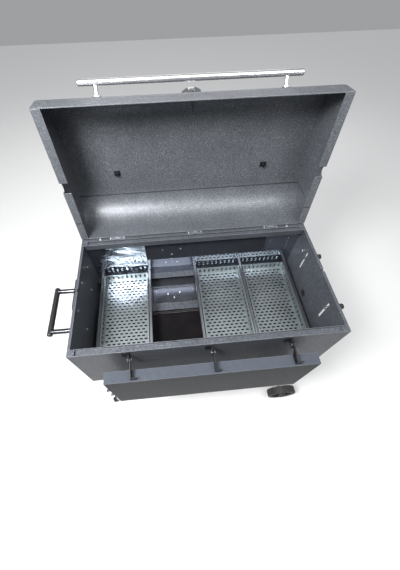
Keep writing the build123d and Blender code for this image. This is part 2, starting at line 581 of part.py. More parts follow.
PORT_RIM_R, PORT_RIM_T, PORT_BORE_R = 17.0, 2.5, 6.0
with BuildPart() as probe_port:
    rod_x((IN_X, CHEST_W / 2), PORT_Y, RIM_Z - PORT_Z, PORT_R)
    rod_x((IN_X - PORT_RIM_T, IN_X), PORT_Y, RIM_Z - PORT_Z, PORT_RIM_R)
    rod_x((CHEST_W / 2, CHEST_W / 2 + PORT_RIM_T), PORT_Y, RIM_Z - PORT_Z, PORT_RIM_R)
    rod_x((IN_X - PORT_RIM_T, CHEST_W / 2 + PORT_RIM_T), PORT_Y, RIM_Z - PORT_Z, PORT_BORE_R,
          Mode.SUBTRACT)
finish(probe_port, "probe_port")

# ================================================================ front shelf
EAR_GAP = 1.0
EAR_X = (-EAR_GAP - ARM_T, -EAR_GAP)       # wall bracket's ear beside the arm, from the arm's left face
PIVOT_R = BOLT_R
with BuildPart() as shelf_wall_brackets:
    for x in ARM_X:
        ear = (x + EAR_X[0], x + EAR_X[1])
        slab((ear[0] - ARM_FLANGE, ear[1]), (-CHEST_D / 2 - ARM_T, -CHEST_D / 2),
             (PIVOT_Z - PIVOT_EYE_R, RIM_Z - ARM_T))
        with BuildSketch(side_plane(ear[0])):
            with Locations((PIVOT_Y, PIVOT_Z)):
                Circle(PIVOT_EYE_R)
            with Locations(((PIVOT_Y - CHEST_D / 2) / 2, PIVOT_Z)):
                Rectangle(PIVOT_OUT, 2 * PIVOT_EYE_R)
        extrude(amount=ARM_T)
        rod_x(ear, PIVOT_Y, PIVOT_Z, PIVOT_R + RUNNING, Mode.SUBTRACT)
finish(shelf_wall_brackets, "shelf_wall_brackets")

with BuildPart() as shelf_pivot_bolts:
    for x in ARM_X:
        rod_x((x + EAR_X[0] - BOLT_HEAD_H, x + EAR_X[0]), PIVOT_Y, PIVOT_Z, BOLT_HEAD_R + 1)
        rod_x((x + EAR_X[0], x + ARM_T + BOLT_HEAD_H + EAR_GAP), PIVOT_Y, PIVOT_Z, PIVOT_R)
        rod_x((x + ARM_T + EAR_GAP, x + ARM_T + EAR_GAP + BOLT_HEAD_H), PIVOT_Y, PIVOT_Z, BOLT_HEAD_R + 1)
finish(shelf_pivot_bolts, "shelf_pivot_bolts")

ARM_FOOT_BACK = SHELF_BACK - 4.0
ARM_FOOT_FRONT = SHELF_FRONT + 6.0
ARM_FRONT_H = 27.0
for label, x in zip(("shelf_arm_left", "shelf_arm_middle", "shelf_arm_right"), ARM_X):
    with BuildPart() as arm:
        with BuildSketch(side_plane(x)):
            with Locations((PIVOT_Y, PIVOT_Z)):
                Circle(PIVOT_EYE_R)
            with BuildLine():
                Polyline((PIVOT_Y, PIVOT_Z + PIVOT_EYE_R),
                         (PIVOT_Y - PIVOT_EYE_R, PIVOT_Z - PIVOT_EYE_R * 0.2),
                         (ARM_FOOT_BACK, SHELF_TOP), (ARM_FOOT_FRONT, SHELF_TOP),
                         (ARM_FOOT_FRONT, SHELF_TOP + ARM_FRONT_H), close=True)
            make_face()
        extrude(amount=ARM_T)
        slab((x, x + ARM_FLANGE), (ARM_FOOT_FRONT, ARM_FOOT_FRONT + SHEET),
             (SHELF_TOP, SHELF_TOP + ARM_FRONT_H))
        rod_x((x, x + ARM_T), PIVOT_Y, PIVOT_Z, PIVOT_R + RUNNING, Mode.SUBTRACT)
    finish(arm, label)

SHELF_LOW = SHELF_TOP - SHELF_H
PEG_ROOT_T = 2.0
PEG_HOLE_R = TOOL_PEG_R + BOLT_PLAY
TOOL_PEGS = [(1, d) for d in PEG_DROPS_RIGHT] + [(-1, d) for d in PEG_DROPS_LEFT]
PEG_LINE_Y = (SHELF_BACK + SHELF_FRONT) / 2
with BuildPart() as shelf_panel:
    slab((-SHELF_W / 2, SHELF_W / 2), (SHELF_FRONT, SHELF_BACK), (SHELF_LOW, SHELF_TOP))
    slab((-SHELF_W / 2 + SHELF_SHEET, SHELF_W / 2 - SHELF_SHEET), (SHELF_FRONT + SHELF_SHEET, SHELF_BACK),
         (SHELF_LOW + SHELF_SHEET, SHELF_TOP - SHELF_SHEET), Mode.SUBTRACT)
    for sign, drop in TOOL_PEGS:
        rod_x(pair(sign * (SHELF_W / 2 - SHELF_SHEET), sign * SHELF_W / 2), PEG_LINE_Y, SHELF_TOP - drop,
              PEG_HOLE_R, Mode.SUBTRACT)
finish(shelf_panel, "shelf_panel")

with BuildPart() as tool_pegs:
    for sign, drop in TOOL_PEGS:
        edge = sign * SHELF_W / 2
        rod_x(pair(edge - sign * (SHELF_SHEET + BOLT_HEAD_H), edge + sign * TOOL_PEG_L), PEG_LINE_Y,
              SHELF_TOP - drop, TOOL_PEG_R)
        rod_x(pair(edge, edge + sign * PEG_ROOT_T), PEG_LINE_Y, SHELF_TOP - drop, TOOL_PEG_R * 2)
        rod_x(pair(edge + sign * (TOOL_PEG_L - BOLT_HEAD_H), edge + sign * TOOL_PEG_L), PEG_LINE_Y,
              SHELF_TOP - drop, TOOL_PEG_R * 1.6)
finish(tool_pegs, "tool_pegs")


# ================================================================ cart
AXLE_Z = WHEEL_R
RIGHT_LEG_LOW = AXLE_Z - LEG / 2
LEFT_LEG_LOW = FORK_TOP + 2 * CASTER_PLATE_T
for label, x, low in (("left_legs", -LEG_X, LEFT_LEG_LOW), ("right_legs", LEG_X, RIGHT_LEG_LOW)):
    with BuildPart() as leg_frame:
        for y in (-LEG_Y, LEG_Y):
            slab((x - LEG / 2, x + LEG / 2), (y - LEG / 2, y + LEG / 2), (low, BOTTOM_Z))
            slab((x - LEG / 2 + LEG_SHEET, x + LEG / 2 - LEG_SHEET),
                 (y - LEG / 2 + LEG_SHEET, y + LEG / 2 - LEG_SHEET), (low + LEG_SHEET, BOTTOM_Z),
                 Mode.SUBTRACT)
        slab((x - STRETCHER / 2, x + STRETCHER / 2), (-LEG_Y + LEG / 2, LEG_Y - LEG / 2),
             (STRETCHER_Z - STRETCHER / 2, STRETCHER_Z + STRETCHER / 2))
        if x > 0:
            rod_y(x, (-LEG_Y - LEG, LEG_Y + LEG), AXLE_Z, AXLE_R + BOLT_PLAY, Mode.SUBTRACT)
    finish(leg_frame, label)

with BuildPart() as stretchers:
    for y in (-LEG_Y, LEG_Y):
        slab((-LEG_X + LEG / 2, LEG_X - LEG / 2), (y - STRETCHER / 2, y + STRETCHER / 2),
             (STRETCHER_Z - STRETCHER / 2, STRETCHER_Z + STRETCHER / 2))
finish(stretchers, "stretchers")

AXLE_END = WHEEL_Y + WHEEL_W / 2 + AXLE_CAP_L
with BuildPart() as axle:
    rod_y(LEG_X, (-AXLE_END + AXLE_CAP_L / 2, AXLE_END - AXLE_CAP_L / 2), AXLE_Z, AXLE_R)
finish(axle, "axle")

HUB_PLAY = 1.0
SPACER_R = 12.0
with BuildPart() as axle_spacers:
    for sign in (-1, 1):
        reach = pair(sign * (LEG_Y + LEG / 2), sign * (WHEEL_Y - WHEEL_W / 2 - HUB_PLAY))
        rod_y(LEG_X, reach, AXLE_Z, SPACER_R)
        rod_y(LEG_X, reach, AXLE_Z, AXLE_R + RUNNING, Mode.SUBTRACT)
finish(axle_spacers, "axle_spacers")

with BuildPart() as axle_caps:
    for sign in (-1, 1):
        near = WHEEL_Y + WHEEL_W / 2 + HUB_PLAY
        rod_y(LEG_X, pair(sign * near, sign * AXLE_END), AXLE_Z, AXLE_CAP_R)
        rod_y(LEG_X, pair(sign * (near - 1), sign * (AXLE_END - AXLE_CAP_L / 2)), AXLE_Z,
              AXLE_R + RUNNING, Mode.SUBTRACT)
finish(axle_caps, "axle_caps")

RIM_R = WHEEL_R - TYRE_T
HUB_R = 20.0
HUB_HOLES, HUB_HOLE_R = 6, 10.0
WEB_T = 8.0
LUG_ANGLE = 360.0 / TREAD_LUGS
TREAD_GROOVE = 6.0
for label, sign in (("front", -1), ("rear", 1)):
    wheel_plane = Plane(origin=(LEG_X, sign * WHEEL_Y + WHEEL_W / 2, AXLE_Z), x_dir=(1, 0, 0),
                        z_dir=(0, -1, 0))
    middle_plane = wheel_plane.offset(WHEEL_W / 2)
    with BuildPart() as tyre:
        with BuildSketch(wheel_plane):
            Circle(WHEEL_R)
            Circle(RIM_R, mode=Mode.SUBTRACT)
        extrude(amount=WHEEL_W)
        fillet(tyre.edges().filter_by(GeomType.CIRCLE).group_by(SortBy.RADIUS)[-1], TREAD_DEPTH)
        with BuildSketch(wheel_plane):
            with PolarLocations(WHEEL_R, TREAD_LUGS, start_angle=90 + LUG_ANGLE / 2):
                Rectangle(2 * TREAD_DEPTH, TREAD_GROOVE)
        extrude(amount=WHEEL_W, mode=Mode.SUBTRACT)
    finish(tyre, f"{label}_tyre")
    with BuildPart() as hub:
        with BuildSketch(middle_plane.offset(-WEB_T / 2)):
            Circle(RIM_R)
            with PolarLocations((RIM_R + HUB_R) / 2, HUB_HOLES):
                Circle(HUB_HOLE_R, mode=Mode.SUBTRACT)
        extrude(amount=WEB_T)
        with BuildSketch(wheel_plane):
            Circle(HUB_R)
        extrude(amount=WHEEL_W)
        with BuildSketch(wheel_plane.offset(TREAD_DEPTH)):
            Circle(RIM_R)
            Circle(RIM_R - LEG_SHEET * 2, mode=Mode.SUBTRACT)
        extrude(amount=WHEEL_W - 2 * TREAD_DEPTH)
        with BuildSketch(wheel_plane):
            Circle(AXLE_R + RUNNING)
        extrude(amount=WHEEL_W, mode=Mode.SUBTRACT)
    finish(hub, f"{label}_hub")

# ---------------------------------------------------------------- casters, under the left legs
FORK_GAP = 1.5
FORK_HALF = CASTER_W / 2 + FORK_GAP
FORK_DISC_R = 27.0
SWIVEL_R = 7.0
CASTER_HUB_R = 14.0
with BuildPart() as caster_plates:
    for y in (-LEG_Y, LEG_Y):
        with Locations((-LEG_X, y, LEFT_LEG_LOW - CASTER_PLATE_T / 2)):
            Box(CASTER_PLATE, CASTER_PLATE, CASTER_PLATE_T)
finish(caster_plates, "caster_plates")

for label, sign in (("front", -1), ("rear", 1)):
    turned = Rotation(0, 0, CASTER_TURN)
    trail_plane = Plane(Location((-LEG_X, sign * LEG_Y, 0)) * turned)
    with BuildPart(trail_plane) as fork:
        rod_z(0, 0, (FORK_TOP - FORK_SHEET, FORK_TOP), FORK_DISC_R)
        rod_z(0, 0, (FORK_TOP, LEFT_LEG_LOW - CASTER_PLATE_T - RUNNING), SWIVEL_R)
        for side in (-1, 1):
            cheek = pair(side * FORK_HALF, side * (FORK_HALF + FORK_SHEET))
            slab((-SWIVEL_R, CASTER_TRAIL), cheek, (FORK_TOP - 2 * SWIVEL_R, FORK_TOP))
            slab((CASTER_TRAIL - SWIVEL_R * 1.5, CASTER_TRAIL + SWIVEL_R * 1.5), cheek,
                 (CASTER_R - SWIVEL_R * 1.5, FORK_TOP))
        slab((-SWIVEL_R, CASTER_TRAIL + SWIVEL_R * 1.5), (-FORK_HALF - FORK_SHEET, FORK_HALF + FORK_SHEET),
             (FORK_TOP - FORK_SHEET, FORK_TOP))
        rod_y(CASTER_TRAIL, (-FORK_HALF - FORK_SHEET, FORK_HALF + FORK_SHEET), CASTER_R,
              CASTER_AXLE_R + RUNNING, Mode.SUBTRACT)
        rod_y(CASTER_TRAIL, (-FORK_HALF - 2 * FORK_SHEET, FORK_HALF + 2 * FORK_SHEET), CASTER_R,
              CASTER_AXLE_R)
    finish(fork, f"{label}_caster_fork")
    with BuildPart(trail_plane) as caster_wheel:
        rod_y(CASTER_TRAIL, (-CASTER_W / 2, CASTER_W / 2), CASTER_R, CASTER_R)
        fillet(caster_wheel.edges().filter_by(GeomType.CIRCLE), CASTER_W / 5)
        rod_y(CASTER_TRAIL, (-FORK_HALF + FORK_GAP / 2, FORK_HALF - FORK_GAP / 2), CASTER_R, CASTER_HUB_R)
        rod_y(CASTER_TRAIL, (-FORK_HALF, FORK_HALF), CASTER_R, CASTER_AXLE_R + RUNNING, Mode.SUBTRACT)
    finish(caster_wheel, f"{label}_caster_wheel")

# ================================================================ to the row's own origin, and out
boxes = [piece.bounding_box() for piece in pieces]
ORIGIN_X = (min(b.min.X for b in boxes) + max(b.max.X for b in boxes)) / 2
ORIGIN_Y = (min(b.min.Y for b in boxes) + max(b.max.Y for b in boxes)) / 2
print("chest middle in the row's frame", round(-ORIGIN_X, 4), round(-ORIGIN_Y, 4))
for piece in pieces:
    piece.move(Location((-ORIGIN_X, -ORIGIN_Y, 0)))
    export_step(piece, f"parts/{piece.label}.step")
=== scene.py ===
"""Looks of the tray-fired chest smoker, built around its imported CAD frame.  Metres, +Z up."""

import json
from math import cos, pi, radians, sin

import bmesh
import bpy
from mathutils import Euler, Matrix, Vector


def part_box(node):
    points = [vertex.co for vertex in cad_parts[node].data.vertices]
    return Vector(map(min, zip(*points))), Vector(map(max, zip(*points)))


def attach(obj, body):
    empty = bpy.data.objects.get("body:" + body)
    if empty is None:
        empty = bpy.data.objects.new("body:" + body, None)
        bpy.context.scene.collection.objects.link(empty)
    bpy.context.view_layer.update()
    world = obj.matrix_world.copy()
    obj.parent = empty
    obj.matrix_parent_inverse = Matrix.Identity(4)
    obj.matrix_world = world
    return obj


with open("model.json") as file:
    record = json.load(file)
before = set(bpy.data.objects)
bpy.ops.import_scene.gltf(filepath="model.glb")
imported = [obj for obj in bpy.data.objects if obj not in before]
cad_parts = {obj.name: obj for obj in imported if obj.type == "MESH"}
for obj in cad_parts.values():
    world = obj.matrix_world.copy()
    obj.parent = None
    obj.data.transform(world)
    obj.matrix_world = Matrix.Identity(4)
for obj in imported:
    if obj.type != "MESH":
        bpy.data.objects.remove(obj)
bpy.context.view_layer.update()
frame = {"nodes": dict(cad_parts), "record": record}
nodes = frame["nodes"]


def span(node):
    """Lowest and highest corner of a CAD node, as vectors."""
    low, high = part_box(node)
    return Vector(low), Vector(high)


front_low, front_high = span("front_wall")
side_low, side_high = span("left_wall")
RIM = front_high.z
# Middle of the chest at rim height; the lights and the camera are placed from it.
MIDDLE = Vector(((front_low.x + front_high.x) / 2, (side_low.y + side_high.y) / 2, RIM))


# ---------------------------------------------------------------- node helpers
def new_material(name):
    """An empty node material with a Principled shader; returns the material, its tree and the shader."""
    material = bpy.data.materials.new(name)
    material.use_nodes = True
    tree = material.node_tree
    return material, tree, tree.nodes["Principled BSDF"]


def add(tree, kind, **values):
    """A shader node with its properties and input values set by name."""
    node = tree.nodes.new(kind)
    for key, value in values.items():
        if hasattr(node, key):
            setattr(node, key, value)
        else:
            node.inputs[key.replace("_", " ")].default_value = value
    return node


def noise(tree, scale, detail=3.0, rough=0.6, stretch=None):
    """Noise in object space at the given scale per metre, with an optional stretch along the axes."""
    place = tree.nodes.new("ShaderNodeTexCoord")
    socket = place.outputs["Object"]
    if stretch:
        mapping = tree.nodes.new("ShaderNodeMapping")
        mapping.inputs["Scale"].default_value = stretch
        tree.links.new(socket, mapping.inputs["Vector"])
        socket = mapping.outputs["Vector"]
    texture = add(tree, "ShaderNodeTexNoise", Scale=scale, Detail=detail, Roughness=rough)
    tree.links.new(socket, texture.inputs["Vector"])
    return texture.outputs["Fac"]


def ramp(tree, source, stops):
    """Colour ramp with (position, colour) stops."""
    node = tree.nodes.new("ShaderNodeValToRGB")
    elements = node.color_ramp.elements
    while len(elements) < len(stops):
        elements.new(0.5)
    for element, (position, colour) in zip(elements, stops):
        element.position = position
        element.color = (*colour, 1)
    tree.links.new(source, node.inputs["Fac"])
    return node.outputs["Color"]


def level(tree, source, low, high, start=0.0, stop=1.0):
    """Maps a value from start..stop onto low..high."""
    node = tree.nodes.new("ShaderNodeMapRange")
    for key, value in (("From Min", start), ("From Max", stop), ("To Min", low), ("To Max", high)):
        node.inputs[key].default_value = value
    tree.links.new(source, node.inputs["Value"])
    return node.outputs["Result"]


def mix(tree, factor, first, second, kind="MIX"):
    """Mixes two colours; each may be a socket or a colour."""
    node = tree.nodes.new("ShaderNodeMix")
    node.data_type = "RGBA"
    node.blend_type = kind
    for name, value in (("Factor", factor), ("A", first), ("B", second)):
        slot = [s for s in node.inputs if s.name == name and (name == "Factor" or s.type == "RGBA")][0]
        if isinstance(value, bpy.types.NodeSocket):
            tree.links.new(value, slot)
        else:
            slot.default_value = value if name == "Factor" else (*value, 1)
    return [s for s in node.outputs if s.type == "RGBA"][0]


def split(tree, output):
    """The X, Y and Z of a texture coordinate output, such as Object or Normal."""
    parts = tree.nodes.new("ShaderNodeSeparateXYZ")
    tree.links.new(tree.nodes.new("ShaderNodeTexCoord").outputs[output], parts.inputs["Vector"])
    return parts


def product(tree, first, second):
    """The product of two values."""
    node = add(tree, "ShaderNodeMath", operation="MULTIPLY")
    tree.links.new(first, node.inputs[0])
    tree.links.new(second, node.inputs[1])
    return node.outputs[0]


def edge_mask(tree, radius, sharpness=6.0):
    """1 on outer and inner edges, 0 on flat faces, from a rounded normal."""
    rounded = add(tree, "ShaderNodeBevel", samples=4, Radius=radius)
    geometry = tree.nodes.new("ShaderNodeNewGeometry")
    dot = add(tree, "ShaderNodeVectorMath", operation="DOT_PRODUCT")
    tree.links.new(rounded.outputs["Normal"], dot.inputs[0])
    tree.links.new(geometry.outputs["Normal"], dot.inputs[1])
    return level(tree, dot.outputs["Value"], 1.0, 0.0, 1 - 1 / sharpness, 1.0)


def bump(tree, shader, sources, round_edge=0.0):
    """Chains (height, strength, distance) bumps into the shader, over an optional rounded edge."""
    normal = None
    if round_edge:
        normal = add(tree, "ShaderNodeBevel", samples=4, Radius=round_edge).outputs["Normal"]
    for height, strength, distance in sources:
        node = add(tree, "ShaderNodeBump", Strength=strength, Distance=distance)
        tree.links.new(height, node.inputs["Height"])
        if normal:
            tree.links.new(normal, node.inputs["Normal"])
        normal = node.outputs["Normal"]
    tree.links.new(normal, shader.inputs["Normal"])


# ---------------------------------------------------------------- materials
# Pale blue-grey painted top light, laid on faces that look up.
PAINTED_TOP_TINT = (0.20, 0.23, 0.28)
RUBBED_PAINT = (0.34, 0.35, 0.38)


def hammertone(name, dark, flake, rough=(0.30, 0.45), flakes=0.35, gloss=0.5, metal=(0.15, 0.85),
               skin=1.0, crease=None, painted_top_light=0.0):
    """Powder coat with a hammered skin: dark paint, silvery metal flakes, rubbed edges.
    skin scales the depth of the hammering, crease is the height of a pressed fold line whose colour is
    darkened as painted shade, and painted_top_light is the share of a pale painted top light on faces that
    look up."""
    material, tree, shader = new_material(name)
    patches = noise(tree, 5.0, 3.0)
    speckle = noise(tree, 520.0, 2.0, 0.8)
    coarse = noise(tree, 250.0, 2.0, 0.7)
    cells = noise(tree, 110.0, 2.0, 0.5)
    flecks = level(tree, speckle, 0.0, flakes, 0.44, 0.66)
    base = mix(tree, flecks, dark, flake)
    toned = mix(tree, level(tree, coarse, 0.55, 0.0, 0.40, 0.60), base, [c * 0.35 for c in dark])
    glints = mix(tree, level(tree, coarse, 0.0, flakes * 0.7, 0.60, 0.72), toned, flake)
    clouded = mix(tree, level(tree, patches, 0.0, 0.35, 0.35, 0.7), glints, [c * 0.6 for c in dark])
    edges = edge_mask(tree, 0.0022)
    surface_colour = mix(tree, level(tree, edges, 0.0, 0.4), clouded, RUBBED_PAINT)
    heights = [(cells, 0.30 * skin, 0.0014), (speckle, 0.22 * skin, 0.0005)]
    if crease:
        parts = split(tree, "Object")
        rise = level(tree, parts.outputs["Z"], 0.0, 1.0, crease - 0.004, crease)
        fall = level(tree, parts.outputs["Z"], 1.0, 0.0, crease + 0.001, crease + 0.005)
        fold = product(tree, rise, fall)
        # The fold line is darkened in colour as well as bumped: painted shade in the crease.
        surface_colour = mix(tree, level(tree, fold, 0.0, 0.85), surface_colour, [c * 0.25 for c in dark])
        heights.append((fold, 0.5, 0.002))
    # Faces that look up are lightened towards the pale tint: painted top light from above.
    if painted_top_light:
        upward = split(tree, "Normal")
        surface_colour = mix(tree, level(tree, upward.outputs["Z"], 0.0, painted_top_light, 0.5, 0.9), surface_colour, PAINTED_TOP_TINT)
    tree.links.new(surface_colour, shader.inputs["Base Color"])
    tree.links.new(level(tree, coarse, rough[1], rough[0], 0.35, 0.68), shader.inputs["Roughness"])
    tree.links.new(level(tree, speckle, metal[0], metal[1], 0.48, 0.66), shader.inputs["Metallic"])
    shader.inputs["Specular IOR Level"].default_value = gloss
    bump(tree, shader, heights, 0.0012)
    return material


def polished(name, colour, rough, wave, grain, stretch=(1, 1, 1), bends=(), buckled=None, metallic=1.0):
    """Bright metal: mirror or satin, gently wavy, with smears and fine scratches.
    Each bend is (height, amount): above that height the sheet leans further back.
    Left of x = buckled the sheet has no bends and ripples strongly."""
    material, tree, shader = new_material(name)
    smears = noise(tree, 14.0, 4.0, 0.65)
    scratches = noise(tree, 60.0, 4.0, 0.7, stretch)
    waves = noise(tree, 7.0, 1.5, 0.4)
    tint = mix(tree, level(tree, smears, 0.0, 0.5, 0.3, 0.8), colour, [c * 0.78 for c in colour])
    tree.links.new(tint, shader.inputs["Base Color"])
    tree.links.new(level(tree, smears, rough[0], rough[1], 0.3, 0.75), shader.inputs["Roughness"])
    shader.inputs["Metallic"].default_value = metallic
    bump(tree, shader, [(waves, wave, 0.004), (scratches, grain, 0.0004)], 0.0008)
    if bends:
        parts = split(tree, "Object")
        normal = shader.inputs["Normal"].links[0].from_socket
        tilts = []
        flat = level(tree, parts.outputs["X"], 0.0, 1.0, buckled - 0.004, buckled)
        for height, amount in bends:
            tilt = tree.nodes.new("ShaderNodeCombineXYZ")
            above = level(tree, parts.outputs["Z"], 0.0, amount, height, height + 0.006)
            tree.links.new(product(tree, above, flat), tilt.inputs["Z"])
            tilts.append(tilt.outputs["Vector"])
        ripples = add(tree, "ShaderNodeTexNoise", Scale=9.0, Detail=1.0, Roughness=0.4, Distortion=1.5)
        squeeze = tree.nodes.new("ShaderNodeMapping")
        squeeze.inputs["Scale"].default_value = (0.7, 1.0, 1.9)
        tree.links.new(parts.inputs["Vector"].links[0].from_socket, squeeze.inputs["Vector"])
        tree.links.new(squeeze.outputs["Vector"], ripples.inputs["Vector"])
        centred = add(tree, "ShaderNodeVectorMath", operation="SUBTRACT")
        centred.inputs[1].default_value = (0.5, 0.5, 0.5)
        tree.links.new(ripples.outputs["Color"], centred.inputs[0])
        left = add(tree, "ShaderNodeVectorMath", operation="SCALE")
        tree.links.new(centred.outputs["Vector"], left.inputs[0])
        strength = level(tree, parts.outputs["X"], 0.45, 0.03, buckled - 0.01, buckled)
        tree.links.new(strength, left.inputs["Scale"])
        tilts.append(left.outputs["Vector"])
        for vector in tilts:
            total = add(tree, "ShaderNodeVectorMath", operation="ADD")
            tree.links.new(normal, total.inputs[0])
            tree.links.new(vector, total.inputs[1])
            normal = total.outputs["Vector"]
        unit = add(tree, "ShaderNodeVectorMath", operation="NORMALIZE")
        tree.links.new(normal, unit.inputs[0])
        tree.links.new(unit.outputs["Vector"], shader.inputs["Normal"])
    return material


def plain_dark(name, colour, rough, fine=300.0, strength=0.2, metallic=0.0, worn=0.15, tone=0.6,
               gloss=0.5):
    """Paint, plastic or rubber with a fine skin and slightly worn edges; tone darkens its patches."""
    material, tree, shader = new_material(name)
    patches = noise(tree, 22.0, 3.0)
    skin = noise(tree, fine, 2.0, 0.6)
    base = mix(tree, level(tree, patches, 0.0, 1.0, 0.3, 0.75), colour, [c * tone for c in colour])
    edges = edge_mask(tree, 0.0015)
    surface_colour = mix(tree, level(tree, edges, 0.0, worn), base, (0.25, 0.25, 0.26))
    tree.links.new(surface_colour, shader.inputs["Base Color"])
    tree.links.new(level(tree, patches, rough[0], rough[1], 0.3, 0.75), shader.inputs["Roughness"])
    shader.inputs["Metallic"].default_value = metallic
    shader.inputs["Specular IOR Level"].default_value = gloss
    bump(tree, shader, [(skin, strength, 0.0005)], 0.001)
    return material


def burnt(name):
    """Ash pan: dark paint scorched brown and dulled by soot."""
    material, tree, shader = new_material(name)
    clouds = noise(tree, 6.0, 5.0, 0.6)
    grit = noise(tree, 260.0, 2.0, 0.7)
    base = ramp(tree, clouds, [(0.35, (0.0025, 0.0025, 0.003)), (0.55, (0.004, 0.0035, 0.004)),
                               (0.75, (0.008, 0.006, 0.007))])
    # Edges lightened towards pale grey: partly edge wear, partly a painted highlight along the pan's rim.
    surface_colour = mix(tree, level(tree, edge_mask(tree, 0.002), 0.0, 0.7), base, (0.30, 0.31, 0.33))
    tree.links.new(surface_colour, shader.inputs["Base Color"])
    tree.links.new(level(tree, clouds, 0.45, 0.65, 0.3, 0.7), shader.inputs["Roughness"])
    shader.inputs["Specular IOR Level"].default_value = 0.04
    bump(tree, shader, [(grit, 0.2, 0.0006)], 0.001)
    return material


def clear_glass(name):
    """Clear glass with faint smears."""
    material, tree, shader = new_material(name)
    smears = noise(tree, 40.0, 3.0)
    tree.links.new(level(tree, smears, 0.02, 0.12, 0.3, 0.8), shader.inputs["Roughness"])
    shader.inputs["Base Color"].default_value = (0.95, 0.98, 0.98, 1)
    shader.inputs["Transmission Weight"].default_value = 1.0
    shader.inputs["IOR"].default_value = 1.45
    return material


CHEST = hammertone("chest_hammertone", (0.039, 0.043, 0.051), (0.38, 0.41, 0.46), gloss=0.07,
                   metal=(0.10, 0.58))
LID = hammertone("lid_hammertone", (0.052, 0.057, 0.066), (0.47, 0.50, 0.55), rough=(0.38, 0.52), flakes=0.5,
                 skin=0.5, crease=RIM + 0.100)
# The shelf gets the painted top light on its up-facing faces.
SHELF = hammertone("shelf_hammertone", (0.013, 0.014, 0.018), (0.12, 0.13, 0.15), flakes=0.3, gloss=0.02,
                   metal=(0.0, 0.12), skin=0.7, painted_top_light=0.16)
CART = hammertone("cart_hammertone", (0.020, 0.021, 0.024), (0.20, 0.20, 0.22), flakes=0.25, gloss=0.15)
BLACK_STEEL = plain_dark("black_steel_paint", (0.008, 0.008, 0.011), (0.35, 0.5), worn=0.08, gloss=0.12)
MIRROR = polished("mirror_stainless", (0.40, 0.43, 0.50), (0.04, 0.10), 0.10, 0.02,
                  bends=((RIM - 0.178, 0.46), (RIM - 0.098, 0.03)), buckled=MIDDLE.x - 0.254, metallic=0.97)
PLATE = polished("polished_plate", (0.24, 0.255, 0.29), (0.12, 0.24), 0.10, 0.03, metallic=0.93)
RAIL = polished("rail_steel", (0.20, 0.21, 0.23), (0.30, 0.42), 0.05, 0.05)
TRAY = polished("tray_stainless", (0.29, 0.325, 0.335), (0.27, 0.40), 0.14, 0.02, metallic=0.93)
BOLT = polished("dull_bolt_steel", (0.22, 0.22, 0.24), (0.20, 0.32), 0.05, 0.10)
POST = polished("smoked_chrome", (0.10, 0.10, 0.11), (0.12, 0.22), 0.03, 0.03)
BRIGHT = polished("zinc_steel", (0.72, 0.72, 0.74), (0.15, 0.3), 0.05, 0.15)
CHROME = polished("chrome_plate", (0.55, 0.56, 0.58), (0.05, 0.12), 0.03, 0.02)
BAR = polished("brushed_bar", (0.66, 0.66, 0.67), (0.22, 0.34), 0.03, 0.35, (0.2, 12, 12))
GRIP = plain_dark("black_grip_plastic", (0.012, 0.012, 0.013), (0.30, 0.42), worn=0.1)
PEG = plain_dark("black_peg_paint", (0.03, 0.03, 0.032), (0.3, 0.45), metallic=0.4, worn=0.6)
RUBBER = plain_dark("tyre_rubber", (0.016, 0.016, 0.017), (0.65, 0.85), fine=500.0, strength=0.4, worn=0.3)
HUB = plain_dark("hub_plastic", (0.020, 0.020, 0.022), (0.4, 0.55), worn=0.2)
PAN = burnt("scorched_pan")
GLASS = clear_glass("dial_glass")

SLOT_MATERIAL = {
    "chest_paint": CHEST, "lid_paint": LID, "shelf_paint": SHELF, "cart_paint": CART,
    "black_steel": BLACK_STEEL, "polished_stainless": MIRROR, "tray_stainless": TRAY,
    "ash_pan": PAN, "bright_steel": BRIGHT, "chrome": CHROME, "stainless_bar": BAR,
    "black_grip": GRIP, "black_pegs": PEG, "wheel_rubber": RUBBER, "wheel_hub": HUB, "lens": GLASS,
}
for part in frame["record"]["subparts"]:
    mesh_data = nodes[part["node"]].data
    mesh_data.materials.clear()
    mesh_data.materials.append(SLOT_MATERIAL[part["material_slot"]])
nodes["deflector_plates"].data.materials[0] = PLATE
nodes["tray_rails"].data.materials[0] = RAIL
nodes["handle_posts"].data.materials[0] = POST


# ---------------------------------------------------------------- detail pieces
def piece(name, mesh, material, body, smooth=35.0):
    """Turns a bmesh into an object that rides on a body and wears the given material."""
    data = bpy.data.meshes.new(name)
    bmesh.ops.recalc_face_normals(mesh, faces=mesh.faces)
    mesh.to_mesh(data)
    mesh.free()
    obj = bpy.data.objects.new(name, data)
    bpy.context.collection.objects.link(obj)
    data.materials.append(material)
    data.shade_smooth()
    data.set_sharp_from_angle(angle=radians(smooth))
    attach(obj, body)
    return obj


def facing(place, axis):
    """A transform to place whose Z lies along axis."""
    return Matrix.Translation(place) @ Vector(axis).normalized().to_track_quat("Z", "Y").to_matrix().to_4x4()


def turned(mesh, matrix, profile, sides=48):
    """A ring of sides for each (radius, height) of the profile, joined and closed at both ends."""
    rings = []
    for radius, height in profile:
        ring = []
        for i in range(sides):
            angle = 2 * pi * i / sides
            ring.append(mesh.verts.new(matrix @ Vector((radius * cos(angle), radius * sin(angle), height))))
        rings.append(ring)
    for low, high in zip(rings, rings[1:]):
        for i in range(sides):
            j = (i + 1) % sides
            mesh.faces.new((low[i], low[j], high[j], high[i]))
    mesh.faces.new(rings[0][::-1])
    mesh.faces.new(rings[-1])


def hex_head(mesh, place, axis, across=0.0166, height=0.0044, washer=0.0092, washer_height=0.0012):
    """A chamfered hexagon on a thin washer, standing on place along axis."""
    matrix = facing(place, axis)
    turned(mesh, matrix, [(washer * 0.96, 0), (washer, 0.0003), (washer, washer_height - 0.0003),
                          (washer * 0.96, washer_height)], 32)
    radius = across / 2
    turned(mesh, matrix, [(radius, washer_height), (radius, height - 0.0009),
                          (radius * 0.93, height - 0.0002), (radius * 0.86, height)], 6)


